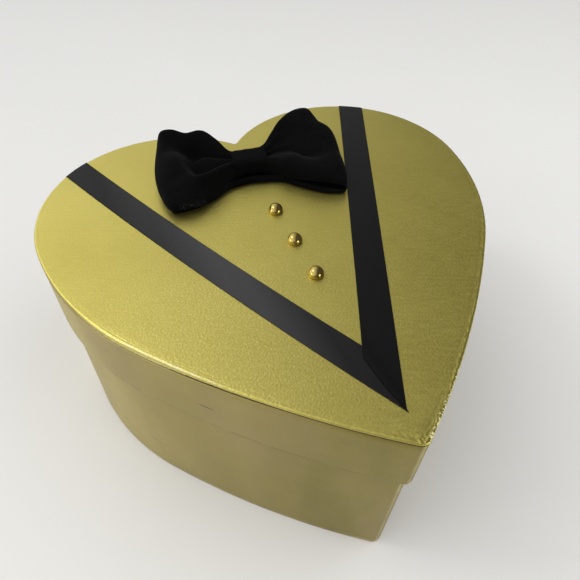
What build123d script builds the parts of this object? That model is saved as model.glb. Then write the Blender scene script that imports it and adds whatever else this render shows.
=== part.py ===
from build123d import *

import os
from math import atan2, cos, degrees, radians, sin, sqrt

# A heart-shaped papier-mache box with a slip lid, painted gold and dressed as a dinner jacket:
# two ribbon lapels, a velvet bow and three ball studs.
# Millimetres, +Z up, the heart's tip toward -Y, the origin under the middle of the lid's outline.

# The heart, measured on the outside of the lid
HEART_WIDTH = 254.0
CLEFT_DEPTH = 23.2
SHOULDER_RADIUS = 140.0
SHOULDER_START_ANGLE = -4.5
SHOULDER_SWEEP_ANGLE = 34.3
SIDE_RADIUS = 490.0
CLEFT_RADIUS = 1.5
LID_TIP_RADIUS = 5.0

# Heights of the box and its lid
BOX_HEIGHT = 130.0
LID_HEIGHT = 39.5

# Boards and papers
WALL_BOARD = 1.5
PANEL_BOARD = 2.0
PAPER = 0.25
TOP_PAPER = 0.45
TOP_TURNDOWN = 2.6
TOP_SEAM = 0.2
EDGE_ROUNDING = 1.2
LID_HEM = 12.0
BASE_HEM = 15.0
LINING_MARGIN = 0.3

# How the lid fits the base, and the base's own corner
LID_CLEARANCE = 0.55
BASE_TIP_RADIUS = 5.5
PANEL_FIT = 0.15
UNDERSIDE_MARGIN = 0.8

# The wall strips meet at the cleft, under a tape
STRIP_END_GAP = 0.4
TAPE_WIDTH = 26.0
TAPE_THICKNESS = 0.2
TAPE_GLUE = 0.1

# Lapel ribbons
RIBBON_WIDTH = 15.9
RIBBON_THICKNESS = 0.4
LAPEL_ANGLE = 25.0
LAPEL_LEAN_ANGLE = 0.9
LAPEL_FROM_TIP = 15.2
LAPEL_BOW = 3.4

# The bow, lying across the lid below the cleft
BOW_LENGTH = 107.0
BOW_HEIGHT = 61.0
BOW_THICKNESS = 18.6
BOW_LIFT = 1.2
BOW_TURN_ANGLE = -7.0
BOW_FROM_CLEFT = 31.5
BOW_SIDE_SHIFT = -2.0
KNOT_WIDTH = 20.0
KNOT_BAND = 1.6
KNOT_FIT = 0.2
KNOT_ROUNDING = 0.7
WAIST_HEIGHT = 12.5
WAIST_THICKNESS = 7.5
BOW_GLUE_THICKNESS = 0.6
BOW_GLUE_WIDTH = 13.0
BOW_GLUE_HEIGHT = 9.0
BOW_GLUE_CORNER = 3.0

# Stations of a bow wing from the knot to its end: the place as a share of the wing's length, the near and
# far edges of the bow's height, and the underside, near roll, valley and far roll of the bow's thickness
WING_SHARES = (
    (0.18, 0.25, 0.23, 0.03, 0.50, 0.34, 0.75),
    (0.44, 0.40, 0.385, 0.00, 0.59, 0.42, 0.91),
    (0.71, 0.51, 0.46, 0.00, 0.59, 0.56, 0.97),
    (0.90, 0.53, 0.445, 0.02, 0.44, 0.53, 0.83),
    (1.00, 0.51, 0.42, 0.10, 0.24, 0.31, 0.47),
)
NEAR_ROLL_SHARE = 0.66
FAR_ROLL_SHARE = 0.86
SIDE_BULGE_SHARE = 0.05
WAIST_DIMPLE = 1.0
WAIST_CORNER_SHARE = 0.34

# Ball studs down the shirt front
STUD_DIAMETER = 8.0
STUD_FLAT_CUT = 3.6
STUD_PITCH = 26.2
STUD_FROM_BOW = 40.1
STUD_SIDE_SHIFT = -1.4
STUD_GLUE_DIAMETER = 7.6
STUD_GLUE_THICKNESS = 0.25
STUD_NAMES = ("stud_upper", "stud_middle", "stud_lower")

# What a cut runs past the material
OVERRUN = 10.0

# Set-ins from the outside of the lid
RIM_PAPER_INSET = TOP_PAPER - PAPER
RIM_LINED_INSET = TOP_PAPER + WALL_BOARD
LID_HEM_INSET = RIM_LINED_INSET + PAPER
BASE_INSET = LID_HEM_INSET + LID_CLEARANCE

# Depths from the outside of the base
BASE_LINED_DEPTH = PAPER + WALL_BOARD
BASE_HEM_DEPTH = BASE_LINED_DEPTH + PAPER
FLOOR_DEPTH = BASE_LINED_DEPTH + PANEL_FIT

# Heights
RIM_BOTTOM = BOX_HEIGHT - LID_HEIGHT
TOP_BOARD_TOP = BOX_HEIGHT - TOP_PAPER
TOP_BOARD_BOTTOM = TOP_BOARD_TOP - PANEL_BOARD
LID_CEILING = TOP_BOARD_BOTTOM - PAPER
RIM_PAPER_TOP = BOX_HEIGHT - TOP_TURNDOWN - TOP_SEAM
BASE_RIM = LID_CEILING
BASE_FOOT = PAPER
FLOOR_TOP = BASE_FOOT + PANEL_BOARD


def pointing(angle):
    """A unit vector at an angle in degrees from +X."""
    return Vector(cos(radians(angle)), sin(radians(angle)))


# The lobes' radius, at which they span the width and meet in a cleft of that depth
LOBE_RADIUS = HEART_WIDTH / 2 + CLEFT_DEPTH - sqrt(CLEFT_DEPTH * (HEART_WIDTH + 2 * CLEFT_RADIUS))

# Centres of the right half's arcs, first from the line through the lobes' centres
LOBE_OFFSET = HEART_WIDTH / 2 - LOBE_RADIUS
SHOULDER_END_ANGLE = SHOULDER_START_ANGLE - SHOULDER_SWEEP_ANGLE
SHOULDER_SHIFT = (LOBE_RADIUS - SHOULDER_RADIUS) * pointing(SHOULDER_START_ANGLE)
SIDE_SHIFT = SHOULDER_SHIFT + (SHOULDER_RADIUS - SIDE_RADIUS) * pointing(SHOULDER_END_ANGLE)
SIDE_X = LOBE_OFFSET + SIDE_SHIFT.X
TIP_REACH = sqrt((SIDE_RADIUS - LID_TIP_RADIUS) ** 2 - SIDE_X**2) + LID_TIP_RADIUS - SIDE_SHIFT.Y
HEART_LENGTH = LOBE_RADIUS + TIP_REACH

LOBE_CENTRE = Vector(LOBE_OFFSET, HEART_LENGTH / 2 - LOBE_RADIUS)
SHOULDER_CENTRE = LOBE_CENTRE + SHOULDER_SHIFT
SIDE_CENTRE = LOBE_CENTRE + SIDE_SHIFT
CLEFT_RISE = sqrt((LOBE_RADIUS + CLEFT_RADIUS) ** 2 - LOBE_OFFSET**2)
CLEFT_CENTRE = Vector(0, LOBE_CENTRE.Y + CLEFT_RISE)
CLEFT_Y = CLEFT_CENTRE.Y - CLEFT_RADIUS
TIP_Y = -HEART_LENGTH / 2


def heart_face(inset, tip_radius, mode=Mode.ADD):
    """Adds a heart to the sketch in progress, set in from the lid's outside by inset.

    The outline is a chain of tangent arcs, so a set-in copy keeps their centres and changes
    only their radii. The tip has a radius of its own, as a folded board does.
    """
    side_radius = SIDE_RADIUS - inset
    tip_rise = sqrt((side_radius - tip_radius) ** 2 - SIDE_CENTRE.X**2)
    cleft_angle = degrees(atan2(-CLEFT_RISE, LOBE_OFFSET))
    lobe_start = cleft_angle + 180
    tip_angle = degrees(atan2(-tip_rise, -SIDE_CENTRE.X))
    with BuildLine() as outline:
        CenterArc(CLEFT_CENTRE, CLEFT_RADIUS + inset, -90, cleft_angle + 90)
        CenterArc(LOBE_CENTRE, LOBE_RADIUS - inset, lobe_start, SHOULDER_START_ANGLE - lobe_start)
        CenterArc(SHOULDER_CENTRE, SHOULDER_RADIUS - inset, SHOULDER_START_ANGLE, -SHOULDER_SWEEP_ANGLE)
        CenterArc(SIDE_CENTRE, side_radius, SHOULDER_END_ANGLE, tip_angle - SHOULDER_END_ANGLE)
        CenterArc((0, SIDE_CENTRE.Y - tip_rise), tip_radius, tip_angle, -90 - tip_angle)
        mirror(about=Plane.YZ)
    make_face(outline.line, mode=mode)


def lid_face(inset, mode=Mode.ADD):
    """A heart set in from the outside of the lid."""
    heart_face(inset, LID_TIP_RADIUS - inset, mode)


def base_face(depth, mode=Mode.ADD):
    """A heart set in from the outside of the base."""
    heart_face(BASE_INSET + depth, BASE_TIP_RADIUS - depth, mode)


def lid_block(inset, bottom):
    """The lid's outside as a solid block, its top edge rounded, set in by inset all over."""
    with BuildPart() as block:
        with BuildSketch(Plane.XY.offset(bottom)):
            lid_face(inset)
        extrude(amount=BOX_HEIGHT - inset - bottom)
        fillet(block.faces().sort_by(Axis.Z)[-1].edges(), EDGE_ROUNDING - inset)
    return block.part


# The lid's outside, the board inside its top paper, and the outside of a ribbon laid all over it
LID_ENVELOPE = lid_block(0, RIM_BOTTOM - OVERRUN)
BOARD_ENVELOPE = lid_block(TOP_PAPER, RIM_BOTTOM - OVERRUN)
RIBBON_ENVELOPE = lid_block(-RIBBON_THICKNESS, RIM_BOTTOM)

os.makedirs("parts", exist_ok=True)


def write(piece, name):
    """Labels a finished piece and writes it under its own name."""
    piece.part.label = name
    export_step(piece.part, f"parts/{name}.step")


# Base: the paper under the box
with BuildPart() as base_underside_paper:
    with BuildSketch():
        base_face(UNDERSIDE_MARGIN)
    extrude(amount=PAPER)
write(base_underside_paper, "base_underside_paper")

# Base: the wall, one strip of board folded at the tip, its ends meeting at the cleft
with BuildPart() as base_wall_board:
    with BuildSketch(Plane.XY.offset(BASE_FOOT)):
        base_face(PAPER)
        base_face(BASE_LINED_DEPTH, Mode.SUBTRACT)
        with Locations((0, CLEFT_Y - BASE_INSET - PAPER - WALL_BOARD / 2)):
            Rectangle(STRIP_END_GAP, 2 * WALL_BOARD, mode=Mode.SUBTRACT)
    extrude(amount=BASE_RIM - PAPER - BASE_FOOT)
write(base_wall_board, "base_wall_board")

# Base: the floor panel, glued inside the wall
with BuildPart() as base_floor_board:
    with BuildSketch(Plane.XY.offset(BASE_FOOT)):
        base_face(FLOOR_DEPTH)
    extrude(amount=PANEL_BOARD)
write(base_floor_board, "base_floor_board")

# Base: the sheet that lines the floor
with BuildPart() as base_floor_lining:
    with BuildSketch(Plane.XY.offset(FLOOR_TOP)):
        base_face(FLOOR_DEPTH + LINING_MARGIN)
    extrude(amount=PAPER)
write(base_floor_lining, "base_floor_lining")

# Base: the wall's covering paper, turned over the rim and hemmed inside
with BuildPart() as base_wall_paper:
    with BuildSketch(Plane.XY.offset(BASE_FOOT)):
        base_face(0)
        base_face(PAPER, Mode.SUBTRACT)
    extrude(amount=BASE_RIM - BASE_FOOT)
    with BuildSketch(Plane.XY.offset(BASE_RIM - PAPER)):
        base_face(0)
        base_face(BASE_HEM_DEPTH, Mode.SUBTRACT)
    extrude(amount=PAPER)
    with BuildSketch(Plane.XY.offset(BASE_RIM - BASE_HEM)):
        base_face(BASE_LINED_DEPTH)
        base_face(BASE_HEM_DEPTH, Mode.SUBTRACT)
    extrude(amount=BASE_HEM)
write(base_wall_paper, "base_wall_paper")

# Base: the tape across the strip's ends, inside the cleft
with BuildPart() as base_cleft_tape:
    with BuildSketch(Plane.XY.offset(FLOOR_TOP + PAPER)):
        base_face(BASE_LINED_DEPTH + TAPE_GLUE)
        base_face(BASE_LINED_DEPTH + TAPE_GLUE + TAPE_THICKNESS, Mode.SUBTRACT)
        with Locations((0, CLEFT_Y)):
            Rectangle(TAPE_WIDTH, 2 * TAPE_WIDTH, mode=Mode.INTERSECT)
    extrude(amount=BASE_RIM - BASE_HEM - FLOOR_TOP - PAPER)
write(base_cleft_tape, "base_cleft_tape")

# Lid: the top panel, its upper edge rounded
with BuildPart() as lid_top_board:
    add(BOARD_ENVELOPE)
    split(bisect_by=Plane.XY.offset(TOP_BOARD_BOTTOM), keep=Keep.TOP)
write(lid_top_board, "lid_top_board")

# Lid: the rim, a strip of board under the panel's edge, its ends meeting at the cleft
with BuildPart() as lid_rim_board:
    with BuildSketch(Plane.XY.offset(RIM_BOTTOM + PAPER)):
        lid_face(TOP_PAPER)
        lid_face(RIM_LINED_INSET, Mode.SUBTRACT)
        with Locations((0, CLEFT_Y - TOP_PAPER - WALL_BOARD / 2)):
            Rectangle(STRIP_END_GAP, 2 * WALL_BOARD, mode=Mode.SUBTRACT)
    extrude(amount=TOP_BOARD_BOTTOM - RIM_BOTTOM - PAPER)
write(lid_rim_board, "lid_rim_board")

# Lid: the top paper, turned down over the rounded edge
with BuildPart() as lid_top_paper:
    add(LID_ENVELOPE)
    add(BOARD_ENVELOPE, mode=Mode.SUBTRACT)
    split(bisect_by=Plane.XY.offset(BOX_HEIGHT - TOP_TURNDOWN), keep=Keep.TOP)
write(lid_top_paper, "lid_top_paper")

# Lid: the rim's paper strip, turned under the lower edge and hemmed inside
with BuildPart() as lid_rim_paper:
    with BuildSketch(Plane.XY.offset(RIM_BOTTOM)):
        lid_face(RIM_PAPER_INSET)
        lid_face(TOP_PAPER, Mode.SUBTRACT)
    extrude(amount=RIM_PAPER_TOP - RIM_BOTTOM)
    with BuildSketch(Plane.XY.offset(RIM_BOTTOM)):
        lid_face(RIM_PAPER_INSET)
        lid_face(LID_HEM_INSET, Mode.SUBTRACT)
    extrude(amount=PAPER)
    with BuildSketch(Plane.XY.offset(RIM_BOTTOM)):
        lid_face(RIM_LINED_INSET)
        lid_face(LID_HEM_INSET, Mode.SUBTRACT)
    extrude(amount=LID_HEM)
write(lid_rim_paper, "lid_rim_paper")

# Lid: the tape across the rim strip's ends, inside the cleft
with BuildPart() as lid_cleft_tape:
    with BuildSketch(Plane.XY.offset(RIM_BOTTOM + LID_HEM)):
        lid_face(RIM_LINED_INSET + TAPE_GLUE)
        lid_face(RIM_LINED_INSET + TAPE_GLUE + TAPE_THICKNESS, Mode.SUBTRACT)
        with Locations((0, CLEFT_Y)):
            Rectangle(TAPE_WIDTH, 2 * TAPE_WIDTH, mode=Mode.INTERSECT)
    extrude(amount=LID_CEILING - RIM_BOTTOM - LID_HEM)
write(lid_cleft_tape, "lid_cleft_tape")

# Lid: the sheet that lines the panel from below
with BuildPart() as lid_top_lining:
    with BuildSketch(Plane.XY.offset(LID_CEILING)):
        lid_face(RIM_LINED_INSET + LINING_MARGIN)
    extrude(amount=PAPER)
write(lid_top_lining, "lid_top_lining")

# Lapels: ribbons mitred at the heart's point, run up the lid and turned down over its edge. The left
# one is laid in a slight bow, so its edges are arcs about one far centre.
LAPEL_POINT = Vector(0, TIP_Y + LAPEL_FROM_TIP)
LAPEL_REACH = HEART_LENGTH + 2 * OVERRUN
LEFT_WAY = pointing(LAPEL_LEAN_ANGLE + 90 + LAPEL_ANGLE)
LEFT_OUT = pointing(LAPEL_LEAN_ANGLE + 180 + LAPEL_ANGLE)
RIGHT_WAY = pointing(LAPEL_LEAN_ANGLE + 90 - LAPEL_ANGLE)
RIGHT_OUT = pointing(LAPEL_LEAN_ANGLE - LAPEL_ANGLE)

# The left ribbon's outer and inner arcs
LEFT_RADIUS = (LAPEL_REACH**2 / 4 + LAPEL_BOW**2) / (2 * LAPEL_BOW)
LEFT_INNER_RADIUS = LEFT_RADIUS - RIBBON_WIDTH
LEFT_CENTRE = LAPEL_POINT + LEFT_WAY * (LAPEL_REACH / 2) - LEFT_OUT * (LEFT_RADIUS - LAPEL_BOW)
LEFT_END = LAPEL_POINT + LEFT_WAY * LAPEL_REACH
LEFT_INNER_END = LEFT_CENTRE + (LEFT_END - LEFT_CENTRE).normalized() * LEFT_INNER_RADIUS

# The notch, where the right ribbon's inner edge meets the left one's
RIGHT_INNER = LAPEL_POINT - RIGHT_OUT * RIBBON_WIDTH
NOTCH_WAY = (LEFT_CENTRE - RIGHT_INNER).dot(RIGHT_WAY)
NOTCH_OFFSET = (LEFT_CENTRE - RIGHT_INNER).dot(RIGHT_OUT)
LAPEL_NOTCH = RIGHT_INNER + RIGHT_WAY * (NOTCH_WAY - sqrt(LEFT_INNER_RADIUS**2 - NOTCH_OFFSET**2))

with BuildSketch(Plane.XY.offset(RIM_BOTTOM - OVERRUN)) as left_strip:
    with BuildLine():
        ThreePointArc(LAPEL_POINT, LEFT_CENTRE + LEFT_OUT * LEFT_RADIUS, LEFT_END)
        Line(LEFT_END, LEFT_INNER_END)
        ThreePointArc(LEFT_INNER_END, LEFT_CENTRE + LEFT_OUT * LEFT_INNER_RADIUS, LAPEL_NOTCH)
        Line(LAPEL_NOTCH, LAPEL_POINT)
    make_face()
with BuildSketch(Plane.XY.offset(RIM_BOTTOM - OVERRUN)) as right_strip:
    with BuildLine():
        Polyline(
            LAPEL_POINT, LAPEL_POINT + RIGHT_WAY * LAPEL_REACH, RIGHT_INNER + RIGHT_WAY * LAPEL_REACH,
            LAPEL_NOTCH, close=True)
    make_face()

for strip, name in ((left_strip, "lapel_ribbon_left"), (right_strip, "lapel_ribbon_right")):
    with BuildPart() as lapel_ribbon:
        add(RIBBON_ENVELOPE)
        add(LID_ENVELOPE, mode=Mode.SUBTRACT)
        add(strip.sketch)
        extrude(amount=LID_HEIGHT + 2 * OVERRUN, mode=Mode.INTERSECT)
    write(lapel_ribbon, name)

# The bow's own directions: along it, across it and up from the lid
BOW_CENTRE = Vector(BOW_SIDE_SHIFT, CLEFT_Y - BOW_FROM_CLEFT, BOX_HEIGHT)
BOW_ALONG = pointing(BOW_TURN_ANGLE)
BOW_ACROSS = pointing(BOW_TURN_ANGLE + 90)
WAIST_BOTTOM = BOW_GLUE_THICKNESS + KNOT_BAND + KNOT_FIT
KNOT_TOP = WAIST_BOTTOM + WAIST_THICKNESS + KNOT_FIT + KNOT_BAND


def bow_section(along):
    """The plane square to the bow at a distance along it: X runs across the bow, Y up."""
    return Plane(BOW_CENTRE + along * BOW_ALONG, x_dir=BOW_ACROSS, z_dir=BOW_ALONG)


def waist_face(grown, mode=Mode.ADD):
    """Adds the bow's gathered waist, grown by an even margin, to the sketch in progress."""
    height = WAIST_THICKNESS + 2 * grown
    corner = WAIST_CORNER_SHARE * WAIST_THICKNESS + grown
    with Locations((0, WAIST_BOTTOM + WAIST_THICKNESS / 2)):
        RectangleRounded(WAIST_HEIGHT + 2 * grown, height, corner, mode=mode)


def wing_stations():
    """Each station of a wing: its distance from the knot's middle, near and far edges, and four heights."""
    waist_top = WAIST_BOTTOM + WAIST_THICKNESS
    waist_edge = WAIST_HEIGHT / 2
    yield KNOT_WIDTH / 2, waist_edge, waist_edge, WAIST_BOTTOM, waist_top, waist_top - WAIST_DIMPLE, waist_top
    for place, near, far, *heights in WING_SHARES:
        along = KNOT_WIDTH / 2 + place * (BOW_LENGTH - KNOT_WIDTH) / 2
        heights = [BOW_LIFT + height * BOW_THICKNESS for height in heights]
        yield along, near * BOW_HEIGHT, far * BOW_HEIGHT, *heights


def bulged(foot, roll, outward):
    """The middle of a section's side, from its foot to its roll, pushed outward (-1 near, 1 far)."""
    across = (foot.X + roll.X) / 2 + outward * SIDE_BULGE_SHARE * (roll.Y - foot.Y)
    return across, (foot.Y + roll.Y) / 2 + SIDE_BULGE_SHARE * abs(foot.X - roll.X)


# Bow: two wings, pinched together inside the knot, each with a high far roll, a valley and a low near roll
for side, name in ((-1, "bow_left_wing"), (1, "bow_right_wing")):
    with BuildPart() as bow_wing:
        for along, near, far, bottom, near_top, valley, far_top in wing_stations():
            near_foot = Vector(-near, bottom)
            far_foot = Vector(far, bottom)
            near_roll = Vector(-NEAR_ROLL_SHARE * near, near_top)
            far_roll = Vector(FAR_ROLL_SHARE * far, far_top)
            with BuildSketch(bow_section(side * along)):
                with BuildLine():
                    Line(near_foot, far_foot)
                    ThreePointArc(far_foot, bulged(far_foot, far_roll, 1), far_roll)
                    ThreePointArc(far_roll, (0, valley), near_roll)
                    ThreePointArc(near_roll, bulged(near_foot, near_roll, -1), near_foot)
                make_face()
        loft()
        with BuildSketch(bow_section(0)):
            waist_face(0)
        extrude(amount=side * KNOT_WIDTH / 2)
    write(bow_wing, name)

# Bow: the knot, a band wrapped round the waist
with BuildPart() as bow_knot_band:
    with BuildSketch(bow_section(-KNOT_WIDTH / 2)):
        waist_face(KNOT_FIT + KNOT_BAND)
        waist_face(KNOT_FIT, Mode.SUBTRACT)
    extrude(amount=KNOT_WIDTH)
    ends = bow_knot_band.faces().sort_by(Axis(BOW_CENTRE, BOW_ALONG))
    fillet(ends[0].outer_wire().edges() + ends[-1].outer_wire().edges(), KNOT_ROUNDING)
write(bow_knot_band, "bow_knot_band")

# Bow: the patch of glue under the knot
with BuildPart() as bow_glue_pad:
    with BuildSketch(Plane(BOW_CENTRE, x_dir=BOW_ALONG, z_dir=(0, 0, 1))):
        RectangleRounded(BOW_GLUE_WIDTH, BOW_GLUE_HEIGHT, BOW_GLUE_CORNER)
    extrude(amount=BOW_GLUE_THICKNESS)
write(bow_glue_pad, "bow_glue_pad")

# Studs: balls with a flat cut for the glue, in a row below the bow
STUD_RADIUS = STUD_DIAMETER / 2
STUD_RISE = STUD_RADIUS - STUD_FLAT_CUT
STUD_FOOT = sqrt(STUD_RADIUS**2 - STUD_RISE**2)
STUD_FOOT_ANGLE = degrees(atan2(-STUD_RISE, STUD_FOOT))
STUD_PLACES = [(STUD_SIDE_SHIFT, BOW_CENTRE.Y - STUD_FROM_BOW - n * STUD_PITCH) for n in range(len(STUD_NAMES))]
for name, place in zip(STUD_NAMES, STUD_PLACES):
    seat = Vector(*place, BOX_HEIGHT + STUD_GLUE_THICKNESS)
    with BuildPart() as stud:
        with BuildSketch(Plane(seat, x_dir=(1, 0, 0), z_dir=(0, -1, 0))):
            with BuildLine():
                Line((0, 0), (STUD_FOOT, 0))
                CenterArc((0, STUD_RISE), STUD_RADIUS, STUD_FOOT_ANGLE, 90 - STUD_FOOT_ANGLE)
                Line((0, STUD_RISE + STUD_RADIUS), (0, 0))
            make_face()
        revolve(axis=Axis(seat, (0, 0, 1)))
    write(stud, name)

# Studs: a dot of glue under each
with BuildPart() as stud_glue_dots:
    with BuildSketch(Plane.XY.offset(BOX_HEIGHT)):
        with Locations(*STUD_PLACES):
            Circle(STUD_GLUE_DIAMETER / 2)
    extrude(amount=STUD_GLUE_THICKNESS)
write(stud_glue_dots, "stud_glue_dots")
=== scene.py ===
# %% [markdown]
# # A heart-shaped gift box in a dinner jacket
# The box is papier-mache: board and paper, painted gold by hand. The lid wears two ribbon lapels, a
# velvet bow and three ball studs. The CAD frame has every piece at its true size. This script gives
# each one its finish, and it makes the papers, ribbons and velvet again as the soft things they are.
# A piece's lengths are in millimetres, as on a drawing, and scaled to metres when it is finished. The
# floor, the lights and the places in a material are in metres.

# %% Load the frame
from math import acos, atan2, cos, exp, pi, radians, sin, sqrt

import bmesh
import bpy
from bmesh.types import BMEdge, BMVert
from mathutils import Matrix, Vector, noise


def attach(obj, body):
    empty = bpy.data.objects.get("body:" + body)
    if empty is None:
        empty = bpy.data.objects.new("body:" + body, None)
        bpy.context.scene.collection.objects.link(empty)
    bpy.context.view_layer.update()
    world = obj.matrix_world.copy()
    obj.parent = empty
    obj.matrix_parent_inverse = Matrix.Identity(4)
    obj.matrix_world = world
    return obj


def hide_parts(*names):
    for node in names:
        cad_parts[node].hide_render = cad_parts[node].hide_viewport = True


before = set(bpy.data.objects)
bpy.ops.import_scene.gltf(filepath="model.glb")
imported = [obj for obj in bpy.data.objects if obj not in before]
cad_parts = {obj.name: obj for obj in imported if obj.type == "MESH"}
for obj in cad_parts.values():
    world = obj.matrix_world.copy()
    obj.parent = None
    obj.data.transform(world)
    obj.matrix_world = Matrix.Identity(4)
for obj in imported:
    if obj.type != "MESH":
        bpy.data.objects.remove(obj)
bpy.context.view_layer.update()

MM = 0.001

# %% [markdown]
# ## Camera
# The photograph looks down on the box from the left of its tip. The camera's place and its turn were
# worked out from the heart's outline, so the camera is set from three angles and not aimed by eye.

# %% Camera
CAMERA_PLACE = Vector((-89.78, -185.22, 322.56))
CAMERA_YAW, CAMERA_PITCH, CAMERA_ROLL = 0.4337, 0.8419, 0.0326
FOCAL_SHARE, SENSOR_WIDTH = 534.13 / 580, 36.0

forward = Vector((
    sin(CAMERA_YAW) * cos(CAMERA_PITCH), cos(CAMERA_YAW) * cos(CAMERA_PITCH), -sin(CAMERA_PITCH)))
right = Vector((cos(CAMERA_YAW), -sin(CAMERA_YAW), 0))
turn = Matrix.Rotation(-CAMERA_ROLL, 3, forward)
right, upward = turn @ right, turn @ right.cross(forward)
stance = Matrix((right, upward, -forward)).transposed().to_4x4()

camera_data = bpy.data.cameras.new("camera")
camera_data.sensor_width = SENSOR_WIDTH
camera_data.lens = SENSOR_WIDTH * FOCAL_SHARE
camera = bpy.data.objects.new("camera", camera_data)
camera.matrix_world = Matrix.Translation(CAMERA_PLACE * MM) @ stance
bpy.context.scene.collection.objects.link(camera)
bpy.context.scene.camera = camera
print("camera:", round(camera_data.lens, 2), "mm lens")

# %% [markdown]
# ## A few helpers
# A piece is shaped in a bmesh, in millimetres, and becomes an object only when it is done. A node tree
# is easier to read when each node is one call that names its inputs.

# %% Helpers for numbers
def clamp(value):
    """A value kept between 0 and 1."""
    return min(1.0, max(0.0, value))


def hill(distance, width):
    """A smooth hill: 1 at no distance, and almost 0 at twice the width."""
    return exp(-((distance / width) ** 2))


def pointing(angle):
    """A unit vector at an angle from +X."""
    return Vector((cos(angle), sin(angle), 0))


def up(height):
    """A vector straight up."""
    return Vector((0, 0, height))


# %% Helpers for pieces
SOFT_EDGE_ANGLE, SOFT_EDGE_SEGMENTS = radians(50), 2


def only(kind, geometry):
    """The items of one kind in bmesh geometry."""
    return [item for item in geometry if isinstance(item, kind)]


def face_out(bm):
    """Turns all faces of a bmesh outward."""
    bmesh.ops.recalc_face_normals(bm, faces=bm.faces)


def area_of(bm):
    """The area of all faces of a bmesh."""
    return sum(face.calc_area() for face in bm.faces)


def finish_piece(bm, name, body, slot, *nodes):
    """Makes a bmesh in millimetres a smooth piece that rides on a body and stands for CAD nodes."""
    bmesh.ops.scale(bm, vec=(MM, MM, MM), verts=bm.verts)
    mesh = bpy.data.meshes.new(name)
    bm.to_mesh(mesh)
    bm.free()
    piece = bpy.data.objects.new(name, mesh)
    bpy.context.scene.collection.objects.link(piece)
    mesh.shade_smooth()
    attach(piece, body)
    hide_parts(*nodes)
    print(name, "for", ", ".join(nodes), "-", len(mesh.polygons), "faces")
    return piece


def thicken(piece, thickness, offset):
    """Gives a sheet its thickness: an offset of -1 goes inward, 1 outward."""
    wall = piece.modifiers.new("thickness", "SOLIDIFY")
    wall.thickness, wall.offset = thickness * MM, offset


def soften(piece, width):
    """Rounds the cut edges of a thickened sheet."""
    bevel = piece.modifiers.new("soft_edges", "BEVEL")
    bevel.width, bevel.segments = width * MM, SOFT_EDGE_SEGMENTS
    bevel.limit_method, bevel.angle_limit = "ANGLE", SOFT_EDGE_ANGLE


def dress(piece, material):
    """Gives a piece one material."""
    piece.data.materials.clear()
    piece.data.materials.append(material)


# %% Helpers for materials
def new_finish(name):
    """A new material, with its node tree and its Principled shader."""
    material = bpy.data.materials.new(name)
    material.use_nodes = True
    print("finish:", name)
    return material, material.node_tree, material.node_tree.nodes["Principled BSDF"]


def feed(tree, socket, value):
    """Gives an input a value, or a link if the value is a socket."""
    if isinstance(value, bpy.types.NodeSocket):
        tree.links.new(value, socket)
    else:
        socket.default_value = value


def add(tree, kind, inputs=(), **settings):
    """Adds a node and feeds its inputs."""
    node = tree.nodes.new("ShaderNode" + kind)
    for key, value in settings.items():
        setattr(node, key, value)
    for key, value in dict(inputs).items():
        feed(tree, node.inputs[key], value)
    return node


def set_shader(shader, **values):
    """Feeds the shader's inputs, named with _ for a space."""
    for name, value in values.items():
        feed(shader.id_data, shader.inputs[name.replace("_", " ")], value)


def calculate(tree, operation, first, second=0.0):
    """One or two values put through an operation."""
    return add(tree, "Math", {0: first, 1: second}, operation=operation).outputs[0]


def plus(tree, total, *others):
    """Values added together."""
    for other in others:
        total = calculate(tree, "ADD", total, other)
    return total


def minus(tree, first, second):
    """The second value taken from the first."""
    return calculate(tree, "SUBTRACT", first, second)


def times(tree, first, second):
    """Two values multiplied."""
    return calculate(tree, "MULTIPLY", first, second)


def measure(tree, operation, first, second):
    """A number worked out from two vectors."""
    return add(tree, "VectorMath", {0: first, 1: second}, operation=operation).outputs["Value"]


def marked(tree, name):
    """A number that the vertices keep under a name."""
    return add(tree, "Attribute", attribute_name=name).outputs["Fac"]


def stretch(tree, place, scale):
    """A place, scaled."""
    return add(tree, "Mapping", {"Vector": place, "Scale": scale}).outputs[0]


def object_place(tree, scale=(1, 1, 1), turn=0.0):
    """Object coordinates, turned about Z and then scaled."""
    place = add(tree, "TexCoord").outputs["Object"]
    turned = add(tree, "Mapping", {"Vector": place, "Rotation": (0, 0, turn)}).outputs[0]
    return stretch(tree, turned, scale)


def grain(tree, scale, detail=3.0, roughness=0.55, turn=0.0, place=None):
    """A noise value from 0 to 1 over the object or another place. Its scale may be one for each axis."""
    by_axis = isinstance(scale, tuple)
    if place is None:
        place = object_place(tree, scale if by_axis else (1, 1, 1), radians(turn))
    inputs = {"Vector": place, "Scale": 1.0 if by_axis else scale, "Detail": detail, "Roughness": roughness}
    return add(tree, "TexNoise", inputs).outputs[0]


def fit(tree, value, low, high, to_low=0.0, to_high=1.0):
    """Maps a value from one range to another, and keeps it there."""
    inputs = {"Value": value, "From Min": low, "From Max": high, "To Min": to_low, "To Max": to_high}
    return add(tree, "MapRange", inputs, clamp=True).outputs[0]


def blend(tree, share, first, second):
    """A colour that goes from the first to the second."""
    return add(tree, "Mix", {0: share, 6: first, 7: second}, data_type="RGBA").outputs[2]


def raise_surface(shader, height, depth):
    """Raises a surface by a height of 0 to 1, depth in millimetres."""
    inputs = {"Height": height, "Distance": depth * MM, "Strength": 1.0}
    set_shader(shader, Normal=add(shader.id_data, "Bump", inputs).outputs[0])


# %% [markdown]
# ## Floor and light
# A plain pale floor catches the shadow. The light is soft and comes from the back left, as from a wide
# window: the gold is brightest where it mirrors that side of the room, and dims toward the right.
# The room itself is the world's colour, and a few panels give the shadows and the studs' highlights.

# %% Floor
FLOOR_HALF, FLOOR_DROP = 4.0, 0.0003
FLOOR_DARK, FLOOR_LIGHT = (0.81, 0.805, 0.79, 1), (0.85, 0.845, 0.83, 1)

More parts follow.
